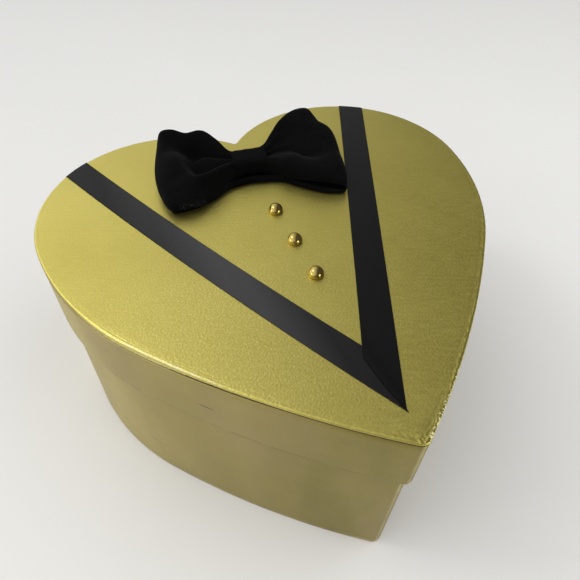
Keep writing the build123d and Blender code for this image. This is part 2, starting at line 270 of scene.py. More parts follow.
floor_finish, tree, shader = new_finish("floor")
floor_colour = blend(tree, grain(tree, 3.0), FLOOR_DARK, FLOOR_LIGHT)
set_shader(shader, Base_Color=floor_colour, Roughness=0.5, Specular_IOR_Level=0.25)

bm = bmesh.new()
bmesh.ops.create_grid(bm, x_segments=1, y_segments=1, size=FLOOR_HALF)
bmesh.ops.translate(bm, vec=(0, 0, -FLOOR_DROP), verts=bm.verts)
floor_mesh = bpy.data.meshes.new("floor")
bm.to_mesh(floor_mesh)
bm.free()
floor = bpy.data.objects.new("floor", floor_mesh)
bpy.context.scene.collection.objects.link(floor)
dress(floor, floor_finish)

# %% Room
# The dome overhead and the walls below it each go from dim to bright toward the window's side.
WINDOW_SIDE = Vector((-0.885, 0.465, 0)).normalized()
DOME_DIM, DOME_BRIGHT, DOME_TURN = (0.125, 0.125, 0.12, 1), (1.23, 1.23, 1.22, 1), (-0.34, 0.51)
WALLS_DIM, WALLS_BRIGHT, WALLS_TURN = (0.10, 0.095, 0.09, 1), (2.2, 2.2, 2.2, 1), (0.2, 0.95)
DOME_RISE = (0.05, 0.42)

world = bpy.data.worlds.new("room")
world.use_nodes = True
bpy.context.scene.world = world
tree = world.node_tree
way = add(tree, "TexCoord").outputs["Generated"]
facing = measure(tree, "DOT_PRODUCT", way, WINDOW_SIDE)
height = add(tree, "SeparateXYZ", {0: way}).outputs[2]
dome = blend(tree, fit(tree, facing, *DOME_TURN), DOME_DIM, DOME_BRIGHT)
walls = blend(tree, fit(tree, facing, *WALLS_TURN), WALLS_DIM, WALLS_BRIGHT)
room = blend(tree, fit(tree, height, *DOME_RISE), walls, dome)
feed(tree, tree.nodes["Background"].inputs["Color"], room)
print("room: bright toward", WINDOW_SIDE)

# %% Panels
# Each panel has a name, a place, a size, a power and whether shiny things mirror it.
PANELS = (
    ("overhead_panel", (0.68, -0.34, 1.12), 1.2, 7.2, False),
    ("window_panel", (-0.75, 0.43, 1.09), 0.34, 2.5, True),
    ("low_panel", (-1.30, 0.10, 0.24), 0.22, 1.4, True),
    ("front_panel", (0.60, -1.25, 0.22), 0.50, 3.4, True),
)
PANEL_TARGET = up(0.08)

for name, place, size, power, mirrored in PANELS:
    panel = bpy.data.lights.new(name, "AREA")
    panel.shape, panel.size, panel.energy = "SQUARE", size, power
    lamp = bpy.data.objects.new(name, panel)
    lamp.visible_glossy, lamp.visible_camera = mirrored, False
    aim = (PANEL_TARGET - Vector(place)).to_track_quat("-Z", "Y")
    lamp.matrix_world = Matrix.Translation(place) @ aim.to_matrix().to_4x4()
    bpy.context.scene.collection.objects.link(lamp)
bpy.context.scene.view_settings.view_transform = "Standard"
print("light:", len(PANELS), "panels")

# %% [markdown]
# ## The heart's outline
# Each half of the heart is five arcs that run into each other: cleft, lobe, shoulder, side and tip.
# bmesh.ops.spin turns one vertex round each arc's centre in turn, and mirror makes the other half. A
# heart that is set in keeps the centres and changes only the radii, so any two rings fit each other.

# %% Sizes of the heart, as in the CAD
HALF_WIDTH = 127.0
CLEFT_DEPTH, CLEFT_RADIUS = 23.2, 1.5
LOBE_RADIUS = HALF_WIDTH + CLEFT_DEPTH - sqrt(CLEFT_DEPTH * 2 * (HALF_WIDTH + CLEFT_RADIUS))
SHOULDER_RADIUS, SIDE_RADIUS = 140.0, 490.0
SHOULDER_START, SHOULDER_END = radians(-4.5), radians(-38.8)
LID_TIP_RADIUS, BASE_TIP_RADIUS, BASE_INSET = 5.0, 5.5, 2.75
CLEFT_STEPS, LOBE_STEPS, SHOULDER_STEPS, SIDE_STEPS, TIP_STEPS = 8, 170, 80, 180, 20

lobe_offset = HALF_WIDTH - LOBE_RADIUS
shoulder_shift = (LOBE_RADIUS - SHOULDER_RADIUS) * pointing(SHOULDER_START)
side_shift = shoulder_shift + (SHOULDER_RADIUS - SIDE_RADIUS) * pointing(SHOULDER_END)
side_x = lobe_offset + side_shift.x
tip_reach = sqrt((SIDE_RADIUS - LID_TIP_RADIUS) ** 2 - side_x**2) + LID_TIP_RADIUS - side_shift.y
heart_length = LOBE_RADIUS + tip_reach

lobe_centre = Vector((lobe_offset, heart_length / 2 - LOBE_RADIUS, 0))
shoulder_centre = lobe_centre + shoulder_shift
side_centre = lobe_centre + side_shift
cleft_rise = sqrt((LOBE_RADIUS + CLEFT_RADIUS) ** 2 - lobe_offset**2)
cleft_centre = Vector((0, lobe_centre.y + cleft_rise, 0))
CLEFT_Y = cleft_centre.y - CLEFT_RADIUS
TIP_Y = -heart_length / 2
print("heart:", round(2 * HALF_WIDTH, 1), "x", round(heart_length, 1), "mm")


# %% Spin the outline
def heart_outline(inset, tip_radius, height):
    """Spins the heart's outline, set in from the lid's outside. Each vertex keeps its way inward."""
    tip_rise = sqrt((SIDE_RADIUS - inset - tip_radius) ** 2 - side_centre.x**2)
    tip_centre = Vector((0, side_centre.y - tip_rise, 0))
    cleft_angle = atan2(-cleft_rise, lobe_offset)
    tip_angle = atan2(-tip_rise, -side_centre.x)
    arcs = (
        (cleft_centre, cleft_angle + pi / 2, CLEFT_STEPS, 1),
        (lobe_centre, SHOULDER_START - cleft_angle - pi, LOBE_STEPS, -1),
        (shoulder_centre, SHOULDER_END - SHOULDER_START, SHOULDER_STEPS, -1),
        (side_centre, tip_angle - SHOULDER_END, SIDE_STEPS, -1),
        (tip_centre, -pi / 2 - tip_angle, TIP_STEPS, -1),
    )
    bm = bmesh.new()
    inward = bm.verts.layers.float_vector.new("inward")
    last = bm.verts.new((0, CLEFT_Y - inset, 0))
    for centre, angle, steps, way in arcs:
        arc = [last]
        bmesh.ops.spin(bm, geom=[last], cent=centre, axis=(0, 0, 1), angle=angle, steps=steps)
        arc += list(bm.verts)[-steps:]
        for vert in arc:
            vert[inward] = way * (vert.co - centre).normalized()
        last = arc[-1]
    last.co.x = 0
    bmesh.ops.mirror(bm, geom=bm.verts[:] + bm.edges[:], axis="X", merge_dist=0.001)
    for vert in bm.verts:
        if vert.co.x < 0:
            vert[inward] = vert[inward] * Vector((-1, 1, 1))
    bmesh.ops.translate(bm, vec=(0, 0, height), verts=bm.verts)
    return bm


def heart_skin(profile, tip_radius):
    """Extrudes the outline along a profile of (inset, height) pairs. Returns the skin and its last ring."""
    bm = heart_outline(profile[0][0], tip_radius, profile[0][1])
    inward = bm.verts.layers.float_vector["inward"]
    ring = bm.edges[:]
    for (inset, height), (next_inset, next_height) in zip(profile, profile[1:]):
        grown = bmesh.ops.extrude_edge_only(bm, edges=ring)["geom"]
        verts = set(only(BMVert, grown))
        ring = [edge for edge in only(BMEdge, grown) if verts.issuperset(edge.verts)]
        for vert in verts:
            vert.co += vert[inward] * (next_inset - inset) + up(next_height - height)
    return bm, ring


def straight(inset, start, stop, count):
    """Profile points straight up or down, evenly spaced from start to stop."""
    return [(inset, start + (stop - start) * step / count) for step in range(count + 1)]


def rounding(inset, height, radius, start, steps=4):
    """Profile points of a quarter turn round (inset, height), from an angle of start."""
    angles = [start + pi / 2 * step / steps for step in range(steps + 1)]
    return [(inset + radius * cos(angle), height + radius * sin(angle)) for angle in angles]


# %% [markdown]
# ## Gold paint
# The paint is metal flake in a binder, put on with a brush. On the top it is laid thick and has the
# colour of the metal, with fine strokes and a grain of flakes, coarsest round one daub, where brighter
# flecks are painted glints. On the sides it is thinner and browner, and painted paler toward the
# window's side as painted light. Along the folds it is rubbed down to pale paper; along the top's left
# edge and down the tip's edge that pale paint is also a painted highlight. At knocks beside the tip it
# is chipped, and the pale chips are painted glints. The cut edge of the top sheet is a dark seam with a
# painted shadow under the lip, and the lip is painted darker near the tip and at the far left as painted
# shade. Dark chips along the lid's lower edge are partly a painted shadow under it. The vertices keep
# how much of each a point has.

# %% Paint on the top
DAUB_PLACE, DAUB_REACH = (-0.050, -0.045, 0.130), 0.065
TOP_DARK, TOP_LIGHT = (0.528, 0.450, 0.103, 1), (0.626, 0.543, 0.139, 1)
# The glint colour is for painted glints in the flecks. The seam colour is the dark cut edge with a painted
# shadow under the lip and painted shade on the lip.
TOP_GLINT, TOP_SEAM_SHADE = (0.76, 0.67, 0.24, 1), (0.042, 0.032, 0.007, 1)
# The worn colour is pale paper on the folds and a painted highlight along the left edge. The chipped colour
# is for painted glints beside the tip.
TOP_WORN_HIGHLIT, TOP_CHIPPED_GLINT = (0.84, 0.78, 0.50, 1), (0.94, 0.85, 0.45, 1)
METALLIC = 0.92

gold_top, tree, shader = new_finish("gold_top")
strokes = grain(tree, (110, 750, 100), 4.0, 0.6, turn=24)
patches = grain(tree, 22.0, 4.0, 0.6)
flakes = grain(tree, 900.0, 2.0, 0.7)
flecks = grain(tree, (850, 1250, 900), 1.0, 0.6, turn=-35)
wear_and_sheen, seam_and_shade, knocked = marked(tree, "edge"), marked(tree, "seam_and_shade"), marked(tree, "knocked")
from_daub = measure(tree, "DISTANCE", object_place(tree), DAUB_PLACE)
thick = fit(tree, minus(tree, from_daub, times(tree, patches, 0.06)), 0.0, DAUB_REACH, 1.0, 0.06)
glint_sparks = times(tree, grain(tree, 1100.0, 1.0, 0.5), knocked)
tone = plus(tree, strokes, patches, flakes)
glints = times(tree, fit(tree, flecks, 0.50, 0.68), thick)
worn_and_highlit = fit(tree, times(tree, wear_and_sheen, flakes), 0.28, 0.52, 0.0, 0.9)
chipped_glints = fit(tree, glint_sparks, 0.44, 0.56)

paint = blend(tree, fit(tree, tone, 1.1, 1.9), TOP_DARK, TOP_LIGHT)
# Painted glints: brighter flecks, most round the daub.
paint = blend(tree, times(tree, glints, 0.65), paint, TOP_GLINT)
# Pale paper on the folds, and a painted highlight along the left edge.
paint = blend(tree, worn_and_highlit, paint, TOP_WORN_HIGHLIT)
# Painted glints: pale chips beside the tip.
paint = blend(tree, chipped_glints, paint, TOP_CHIPPED_GLINT)
# The dark cut edge, with a painted shadow under the lip and painted shade on the lip.
paint = blend(tree, seam_and_shade, paint, TOP_SEAM_SHADE)
rough = fit(tree, plus(tree, strokes, flakes), 0.7, 1.3, 0.34, 0.50)
rough = minus(tree, rough, times(tree, knocked, 0.16))
bare = plus(tree, times(tree, worn_and_highlit, 0.45), times(tree, chipped_glints, 0.75))
metal = fit(tree, bare, 0.0, METALLIC, METALLIC, 0.0)
set_shader(shader, Base_Color=paint, Roughness=rough, Metallic=metal)
ridges = plus(tree, times(tree, times(tree, flecks, 0.8), thick), times(tree, glint_sparks, 0.7))
raise_surface(shader, plus(tree, strokes, flakes, ridges), 0.11)

# %% Paint on the sides
SIDE_DARK, SIDE_LIGHT = (0.205, 0.167, 0.036, 1), (0.425, 0.345, 0.122, 1)
# The worn colour is pale paint on the folds and a painted highlight down the tip's edge. The scuff colour is
# for scuffs and chips, and a painted shadow along the lid's foot.
SIDE_STAIN, SIDE_WORN_HIGHLIT, SIDE_SCUFF_AND_SHADOW = (0.32, 0.25, 0.110, 1), (0.58, 0.49, 0.23, 1), (0.10, 0.075, 0.02, 1)
# Painted light: the sides are painted paler toward the window's side.
PAINTED_LIGHT_WAY = (-1, 0.6, 0)

gold_side, tree, shader = new_finish("gold_side")
streaks = grain(tree, (30, 30, 110), 4.0, 0.6)
clouds = grain(tree, (24, 24, 9), 4.0, 0.55)
stains = grain(tree, (15, 15, 8), 3.0, 0.5)
flakes = grain(tree, 700.0, 2.0, 0.7)
scratches = grain(tree, (40, 40, 420), 3.0, 0.5, turn=10)
foot_dashes = grain(tree, 62.0, 3.0, 0.7)
wear_and_sheen, foot = marked(tree, "edge"), marked(tree, "foot")
painted_light_drift = measure(tree, "DOT_PRODUCT", object_place(tree), PAINTED_LIGHT_WAY)
tone = plus(tree, times(tree, streaks, 0.3), times(tree, flakes, 0.3), times(tree, clouds, 0.55))
# Painted light: the tone rises toward the window's side.
tone = plus(tree, tone, fit(tree, painted_light_drift, -0.03, 0.15, 0.0, 0.42))
# Pale paint on the folds, and a painted highlight down the tip's edge.
worn_and_highlit = fit(tree, times(tree, wear_and_sheen, streaks), 0.2, 0.6)
scuffs = times(tree, fit(tree, scratches, 0.715, 0.76), fit(tree, clouds, 0.45, 0.6))
# Dark chips along the lid's foot, which also stand for a painted shadow under its lower edge.
chips_and_shadow = times(tree, fit(tree, foot_dashes, 0.47, 0.56), foot)

paint = blend(tree, fit(tree, tone, 0.42, 1.02), SIDE_DARK, SIDE_LIGHT)
paint = blend(tree, fit(tree, stains, 0.46, 0.62, 0.0, 0.5), paint, SIDE_STAIN)
paint = blend(tree, worn_and_highlit, paint, SIDE_WORN_HIGHLIT)
paint = blend(tree, fit(tree, plus(tree, scuffs, chips_and_shadow), 0.1, 0.9, 0.0, 0.75), paint, SIDE_SCUFF_AND_SHADOW)
rough = fit(tree, plus(tree, streaks, flakes), 0.7, 1.3, 0.42, 0.56)
set_shader(shader, Base_Color=paint, Roughness=rough, Metallic=0.5, Specular_IOR_Level=0.35)
raise_surface(shader, plus(tree, times(tree, streaks, 0.3), flakes), 0.05)

# %% [markdown]
# ## The top sheet
# The paper on the lid's top is turned down over the panel's rounded edge. The turned lip was cut by
# hand and narrows toward the tip. It is creased along the left, knocked along the right and gathered at
# the tip. Rings along a profile make the edge, and noise pushes those rings in and out, so its glints
# come from the shape as well as from the chipped paint, whose pale chips are painted glints.

# %% Profile of the top sheet
# The lip is written as pairs of an inset and a height above the turned edge.
LID_TOP, TURNED_EDGE, EDGE_RADIUS = 130.0, 125.8, 1.2
LIP = (
    (0.12, 0.0), (0.02, 0.1), (0.0, 0.4), (0.0, 0.7), (0.0, 0.8), (0.04, 1.0),
    (0.10, 1.25), (0.12, 1.6), (0.12, 1.9), (0.08, 2.3), (0.03, 2.7))
FLAT_RINGS = (1.4, 1.6, 1.8, 2.0, 2.2, 2.5, 2.8, 3.1, 3.4, 3.8, 4.4)
LIP_LOSS, NARROW_END, NARROW_START = 0.77, 35.0, 80.0
TOP_PAPER_THICKNESS = 0.45

top_profile = [(inset, TURNED_EDGE + height) for inset, height in LIP]
top_profile += reversed(rounding(EDGE_RADIUS, LID_TOP - EDGE_RADIUS, EDGE_RADIUS, pi / 2, 8))
top_profile += [(inset, LID_TOP) for inset in FLAT_RINGS]
print("top sheet:", len(top_profile), "rings")


def lip_loss(place):
    """The share of the turned-down lip that is cut away: none at the lobes, the most round the tip."""
    return LIP_LOSS * clamp((TIP_Y + NARROW_START - place.y) / (NARROW_START - NARROW_END))


# %% Wear and painted light on the top sheet
# A fall is a depth below the lid's top, and an inset a distance in from its edge.
LEFT_X, LEFT_Y, LEFT_REACH_X, LEFT_REACH_Y = -80, -40, 45, 50
TIP_WIDTH, TIP_REACH = 9, 14
KNOCKS_REACH, KNOCKS_FALL, KNOCKS_WIDTH, KNOCKS_SPREAD, KNOCKS_NEAR = 50, 2, 2.3, 1.6, 12
TOP_FOLD, TOP_FOLD_WIDTH, LIP_FOLD, LIP_FOLD_WIDTH = 0.3, 0.45, 3.1, 0.3
# Below the cut fall the lip is dark: the cut edge and a painted shadow under it. Near the tip and at the far
# left the lip gets painted shade.
CUT_FALL, CUT_FALL_LOSS = 3.45, 2.4
FAR_LEFT, FAR_LEFT_WIDTH = 104, 12
CREASES = ((1.85, 0.26, 0.10), (2.9, 0.34, 0.09))
DEEPEST_PUSH, FADE_WIDTH = 0.38, 1.5
FINE_DEPTH, KNOCK_DEPTH, SETTLED_DEPTH, BEAD_HEIGHT = 0.08, 0.06, 0.14, 0.42
TIP_DEPTH, TIP_RIDGE = 0.14, 0.22


def at_left_edge(place):
    """How near a point is to the middle of the left edge."""
    return hill(place.x - LEFT_X, LEFT_REACH_X) * hill(place.y - LEFT_Y, LEFT_REACH_Y)


def beside_tip(place, fall):
    """How near a point is to the knocked edge at the right of the tip."""
    near_tip = hill(place.y - TIP_Y, KNOCKS_REACH)
    return clamp(place.x / 4 + 0.3) * near_tip if fall < KNOCKS_FALL else 0.0


def paint_wear(place, inset, fall):
    """Paleness, darkness and knocks of the paint, with painted highlight, shade and glints."""
    from_tip = place.y - TIP_Y
    on_folds = max(hill(fall - TOP_FOLD, TOP_FOLD_WIDTH), hill(fall - LIP_FOLD, LIP_FOLD_WIDTH))
    on_folds *= hill(max(0.0, inset - 0.9), 0.7)
    # Along the left edge the pale paint is also a painted highlight.
    wear_and_sheen = (0.15 + 0.85 * at_left_edge(place)) * on_folds
    dark = 0.0
    # The cut edge is dark, with a painted shadow under the lip.
    if fall > CUT_FALL - CUT_FALL_LOSS * lip_loss(place):
        dark = 1.0
    # Painted shade on the lip near the tip and at the far left.
    elif place.x < -1 and fall > 0.25:
        dark = max(0.3 * hill(from_tip, 42), 0.5 * clamp((-place.x - FAR_LEFT) / FAR_LEFT_WIDTH))
    # The knocks beside the tip carry painted glints.
    knocks_width = KNOCKS_WIDTH + KNOCKS_SPREAD * hill(from_tip, KNOCKS_NEAR)
    return wear_and_sheen, dark, beside_tip(place, fall) * hill(inset, knocks_width)


def crumple(place, inset, fall):
    """How far the paper is pushed out at a point, in millimetres."""
    at_tip = hill(place.x, TIP_WIDTH) if place.y - TIP_Y < TIP_REACH else 0.0
    fine = abs(noise.noise(place * 0.55)) + 0.7 * abs(noise.noise(place * 1.4))
    ridge = noise.noise(place * 0.8 + Vector((7, 3, 0)))
    crease = sum(
        depth * (0.75 + noise.noise(place * 0.05 + Vector((line, 0, 0)))) * hill(inset - line, width)
        for line, width, depth in CREASES)
    settled = SETTLED_DEPTH * clamp((3.4 - inset) / 2.2) ** 2
    bead = BEAD_HEIGHT * beside_tip(place, fall) * hill(inset - 1.3, 0.6)
    bead *= 0.1 + noise.noise(place * 0.75)
    knock = KNOCK_DEPTH * clamp(place.x / 30) * (0.6 + noise.noise(place * 1.1))
    sunk = FINE_DEPTH * fine + knock
    sunk += at_left_edge(place) * (crease + settled) + at_tip * (TIP_DEPTH + TIP_RIDGE * ridge)
    push = max(-DEEPEST_PUSH, min(0.0, -sunk)) + max(0.0, bead) * (1 - at_tip)
    fade = min(1.0, (FLAT_RINGS[-1] - inset) / FADE_WIDTH)
    flat_lip = 1 - lip_loss(place) / LIP_LOSS if fall > EDGE_RADIUS else 1.0
    return push * fade * flat_lip


# %% Top sheet
bm, inner_ring = heart_skin(top_profile, LID_TIP_RADIUS)
for vert in bm.verts:
    vert.co.z += max(0.0, LID_TOP - EDGE_RADIUS - vert.co.z) * lip_loss(vert.co)
flat_top = bmesh.ops.edgeloop_fill(bm, edges=inner_ring)["faces"]
bmesh.ops.triangulate(bm, faces=flat_top, ngon_method="BEAUTY")
face_out(bm)
bm.normal_update()

edge_layer = bm.verts.layers.float.new("edge")
seam_and_shade_layer = bm.verts.layers.float.new("seam_and_shade")
knocked_layer = bm.verts.layers.float.new("knocked")
ring_size = len(bm.verts) // len(top_profile)
pushes = []
for number, vert in enumerate(bm.verts):
    inset, height = top_profile[number // ring_size]
    fall = LID_TOP - height
    vert[edge_layer], vert[seam_and_shade_layer], vert[knocked_layer] = paint_wear(vert.co, inset, fall)
    pushes.append(crumple(vert.co, inset, fall))
for vert, push in zip(bm.verts, pushes):
    vert.co += vert.normal * push

top_sheet = finish_piece(bm, "top_sheet", "lid", "gold_top_paper", "lid_top_paper")
thicken(top_sheet, TOP_PAPER_THICKNESS, -1)
dress(top_sheet, gold_top)

# %% [markdown]
# ## The papers round the rim and the wall
# A strip of paper goes round the lid's rim, under its lower edge and up inside. Another goes round the
# base, over its rim and down inside. Each is one open sheet along a profile, thickened inward, and a
# slow noise gives the hand-pasted paper its slight waves. The rim paper's top edge follows the lip.

# %% Sizes of the rim and wall papers
FOLD, BESIDE_FOLD = 0.4, 0.8
RIM_PAPER_TOP, RIM_FOOT, RIM_HEM_TOP = 125.9, 90.5, 102.5
RIM_OUTSIDE, RIM_INSIDE = 0.2, 2.2
WALL_FOOT, WALL_TOP, WALL_HEM_FOOT = 0.25, 127.3, 112.3
WALL_INSIDE = BASE_INSET + 2.0
SIDE_PAPER_THICKNESS = 0.25
WAVE_HEIGHT, WAVE_SCALE = 0.12, 0.03
# The dark chips along the lid's foot also stand for a painted shadow under its lower edge.
CHIPS_AND_SHADOW_LINE, CHIPS_AND_SHADOW_WIDTH = RIM_FOOT + 0.3, 0.8
# Paint near a fold is rubbed pale; down the tip's edge the paler paint is a painted highlight.
RUBBED_WIDTH, TIP_HIGHLIGHT_SHARE, TIP_HIGHLIGHT_WIDTH = 0.8, 0.7, 1.5

fold_low, fold_high = RIM_FOOT + FOLD, WALL_TOP - FOLD
rim_profile = straight(RIM_OUTSIDE, RIM_PAPER_TOP, fold_low + BESIDE_FOLD, 12)
rim_profile += rounding(RIM_OUTSIDE + FOLD, fold_low, FOLD, pi)
rim_profile += rounding(RIM_INSIDE - FOLD, fold_low, FOLD, 1.5 * pi)
rim_profile += straight(RIM_INSIDE, fold_low + BESIDE_FOLD, RIM_HEM_TOP, 3)

wall_profile = straight(BASE_INSET, WALL_FOOT, fold_high - BESIDE_FOLD, 30)
wall_profile += reversed(rounding(BASE_INSET + FOLD, fold_high, FOLD, pi / 2))
wall_profile += reversed(rounding(WALL_INSIDE - FOLD, fold_high, FOLD, 0))
wall_profile += straight(WALL_INSIDE, fold_high - BESIDE_FOLD, WALL_HEM_FOOT, 3)
print("papers:", len(rim_profile), "and", len(wall_profile), "rings")


# %% Rim and wall papers
def wavy_paper(profile, tip_radius, folds):
    """A paper along a profile, with slow waves. It keeps how near a point is to a fold or to the tip, where
    a painted highlight runs down the edge.
    """
    bm = heart_skin(profile, tip_radius)[0]
    face_out(bm)
    bm.normal_update()
    edge_layer = bm.verts.layers.float.new("edge")
    foot_chips_and_shadow_layer = bm.verts.layers.float.new("foot")
    for vert in bm.verts:
        # The lid's foot: dark chips and a painted shadow under its lower edge.
        vert[foot_chips_and_shadow_layer] = max(0.0, 1 - abs(vert.co.z - CHIPS_AND_SHADOW_LINE) / CHIPS_AND_SHADOW_WIDTH)
        near_fold = max((exp(-abs(vert.co.z - fold) / RUBBED_WIDTH) for fold in folds), default=0.0)
        # Painted highlight down the tip's edge.
        near_tip = hill(vert.co.x, TIP_HIGHLIGHT_WIDTH) if vert.co.y < 0 else 0.0
        vert[edge_layer] = max(near_fold, TIP_HIGHLIGHT_SHARE * near_tip)
        vert.co += vert.normal * WAVE_HEIGHT * noise.noise(vert.co * WAVE_SCALE)
    return bm


bm = wavy_paper(rim_profile, LID_TIP_RADIUS - RIM_OUTSIDE, ())
for vert in bm.verts:
    if vert.co.z > RIM_PAPER_TOP - 0.01:
        vert.co.z += (LID_TOP - EDGE_RADIUS - RIM_PAPER_TOP) * lip_loss(vert.co)
rim_wrap = finish_piece(bm, "rim_wrap", "lid", "gold_side_paper", "lid_rim_paper")

bm = wavy_paper(wall_profile, BASE_TIP_RADIUS, (WALL_FOOT, WALL_TOP))
wall_wrap = finish_piece(bm, "wall_wrap", "base", "gold_side_paper", "base_wall_paper")

for paper in (rim_wrap, wall_wrap):
    thicken(paper, SIDE_PAPER_THICKNESS, -1)
    dress(paper, gold_side)

# %% [markdown]
# ## Board, linings and tape
# Inside, the box is bare: grey-brown board with brown paper linings and a gummed tape down the cleft.
# The CAD shapes are right, but their meshes are loose triangles. A copy of each is merged and shaded
# smooth up to 30 degrees, so the curved walls show no flats.

# %% Kraft paper, board and tape
def kraft_finish(name, dark, light, fibre):
    """Brown paper or board, with fibres along one way and specks."""
    material, tree, shader = new_finish(name)
    fibres = grain(tree, fibre, 6.0, 0.65, turn=30)
    specks = grain(tree, 480.0, 2.0, 0.6)
    clouds = grain(tree, 30.0)
    tone = plus(tree, fibres, specks, clouds)
    paper = blend(tree, fit(tree, tone, 1.1, 1.9), dark, light)
    shive_colour = [0.5 * part for part in dark[:3]] + [1]
    paper = blend(tree, fit(tree, specks, 0.70, 0.76), paper, shive_colour)
    rough = fit(tree, fibres, 0.3, 0.7, 0.78, 0.92)
    set_shader(shader, Base_Color=paper, Roughness=rough)
    raise_surface(shader, plus(tree, fibres, specks), 0.05)
    return material


kraft = kraft_finish("kraft", (0.34, 0.22, 0.12, 1), (0.47, 0.33, 0.20, 1), (60, 420, 420))
board = kraft_finish("board", (0.30, 0.23, 0.16, 1), (0.42, 0.34, 0.25, 1), (160, 300, 300))
tape = kraft_finish("tape", (0.44, 0.31, 0.17, 1), (0.55, 0.41, 0.25, 1), (300, 300, 60))

# %% Smooth copies of the boards, linings and tapes
MERGE_METRES, SMOOTH_ANGLE = 0.000002, radians(30)


def smooth_copy(node, slot, material):
    """Makes a merged and smooth copy of a CAD node, whose name begins with its body's, to replace it."""
    bm = bmesh.new()
    bm.from_mesh(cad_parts[node].data)
    bmesh.ops.remove_doubles(bm, verts=bm.verts, dist=MERGE_METRES)
    bmesh.ops.scale(bm, vec=(1 / MM, 1 / MM, 1 / MM), verts=bm.verts)
    piece = finish_piece(bm, node + "_finish", node.split("_")[0], slot, node)
    if "custom_normal" in piece.data.attributes:
        piece.data.attributes.remove(piece.data.attributes["custom_normal"])
    piece.data.set_sharp_from_angle(angle=SMOOTH_ANGLE)
    dress(piece, material)


for node, slot, material in (
    ("base_underside_paper", "kraft_paper", kraft),
    ("base_floor_board", "board", board),
    ("base_wall_board", "board", board),
    ("base_cleft_tape", "tape", tape),
    ("base_floor_lining", "kraft_paper", kraft),
    ("lid_top_board", "board", board),
    ("lid_rim_board", "board", board),
    ("lid_cleft_tape", "tape", tape),
    ("lid_top_lining", "kraft_paper", kraft),
):
    smooth_copy(node, slot, material)

# %% [markdown]
# ## Ribbon lapels
# Each lapel is a length of satin ribbon, glued down from the V at the tip to the lid's back edge and
# turned down over it. The left one lies in a slight bow and shows the satin's face, with a painted sheen
# that makes it paler along its middle, and it is duller toward the back. The right one shows its duller
# back, and its cut end laps the left one. A grid is laid row by row along arcs: flat on the top, round
# the edge, then down the rim. Its border is kept sharp, so the ribbon looks cut and flat.

# %% Ribbon finish
RIBBON_WIDTH, RIBBON_THICKNESS, RIBBON_LENGTH = 15.9, 0.28, 290.0
SATIN_DARK, SATIN_LIGHT = (0.002, 0.002, 0.002, 1), (0.006, 0.006, 0.006, 1)
# The paler satin colour is a painted sheen.
SATIN_SHEEN, SATIN_LINT = (0.038, 0.038, 0.039, 1), (0.16, 0.16, 0.17, 1)
FACE_GLOSS, BACK_GLOSS = 0.36, 0.17


def satin(name, gloss):
    """Black satin ribbon. The vertices keep where a painted sheen makes it paler and where it has gone dull.
    """
    material, tree, shader = new_finish(name)
    across = add(tree, "TexCoord").outputs["UV"]
    lengths = stretch(tree, across, (RIBBON_WIDTH, RIBBON_LENGTH, 1))
    wave = {"Vector": lengths, "Scale": 1.1, "Distortion": 0.6, "Detail": 1.0}
    ribs = add(tree, "TexWave", wave, bands_direction="Y").outputs[1]
    threads = grain(tree, 1.0, 2.0, place=stretch(tree, lengths, (14, 1.2, 1)))
    lint = fit(tree, grain(tree, 1.9, 2.0, 0.7, place=lengths), 0.72, 0.78, 0.0, 0.5)
    sides = add(tree, "SeparateXYZ", {0: across})
    from_middle = calculate(tree, "ABSOLUTE", minus(tree, sides.outputs[0], 0.5))
    selvedge = fit(tree, from_middle, 0.47, 0.495, 0.0, 0.6)
    end = fit(tree, sides.outputs[1], 0.002, 0.008, 1.0, 0.0)
    border = calculate(tree, "MAXIMUM", selvedge, end)
    wear_and_sheen = times(tree, marked(tree, "wear_and_sheen"), fit(tree, threads, 0.3, 0.7, 0.8, 1.0))

    cloth = blend(tree, threads, SATIN_DARK, SATIN_LIGHT)
    # Painted sheen: paler along the left ribbon's middle.
    cloth = blend(tree, wear_and_sheen, cloth, SATIN_SHEEN)
    cloth = blend(tree, border, cloth, SATIN_DARK)
    cloth = blend(tree, lint, cloth, SATIN_LINT)
    rough = fit(tree, threads, 0.3, 0.7, 0.18, 0.28)
    rough = plus(tree, rough, times(tree, marked(tree, "dull"), 0.45), times(tree, border, 0.6))
    set_shader(shader, Base_Color=cloth, Roughness=rough, Specular_IOR_Level=gloss)
    raise_surface(shader, plus(tree, ribs, threads), 0.004)
    return material


RIBBON_FINISHES = {-1: satin("ribbon_face", FACE_GLOSS), 1: satin("ribbon_back", BACK_GLOSS)}

# %% Lines of the lapels
# A side is -1 for the left lapel and 1 for the right one.
LAPEL_ANGLE, LAPEL_LEAN = radians(25.0), radians(90.9)
LAPEL_POINT = Vector((0, TIP_Y + 15.2, 0))
LAPEL_REACH = heart_length + 20
LAPEL_BOWS = {-1: 3.4, 1: 0.4}


def lapel_arc(side):
    """A lapel's ways along and out, and the far centre and the radius of its outer edge."""
    along = pointing(LAPEL_LEAN - side * LAPEL_ANGLE)
    out = pointing(LAPEL_LEAN - side * (LAPEL_ANGLE + pi / 2))
    bow = LAPEL_BOWS[side]
    radius = (LAPEL_REACH**2 / 4 + bow**2) / (2 * bow)
    return along, out, LAPEL_POINT + along * LAPEL_REACH / 2 - out * (radius - bow), radius


def lapel_notch():
    """The point where the two lapels' inner edges meet."""
    along, out = lapel_arc(1)[:2]
    centre, radius = lapel_arc(-1)[2:]
    inner = LAPEL_POINT - out * RIBBON_WIDTH
    to_centre = centre - inner
    half_chord = sqrt((radius - RIBBON_WIDTH) ** 2 - to_centre.dot(out) ** 2)
    return inner + along * (to_centre.dot(along) - half_chord)


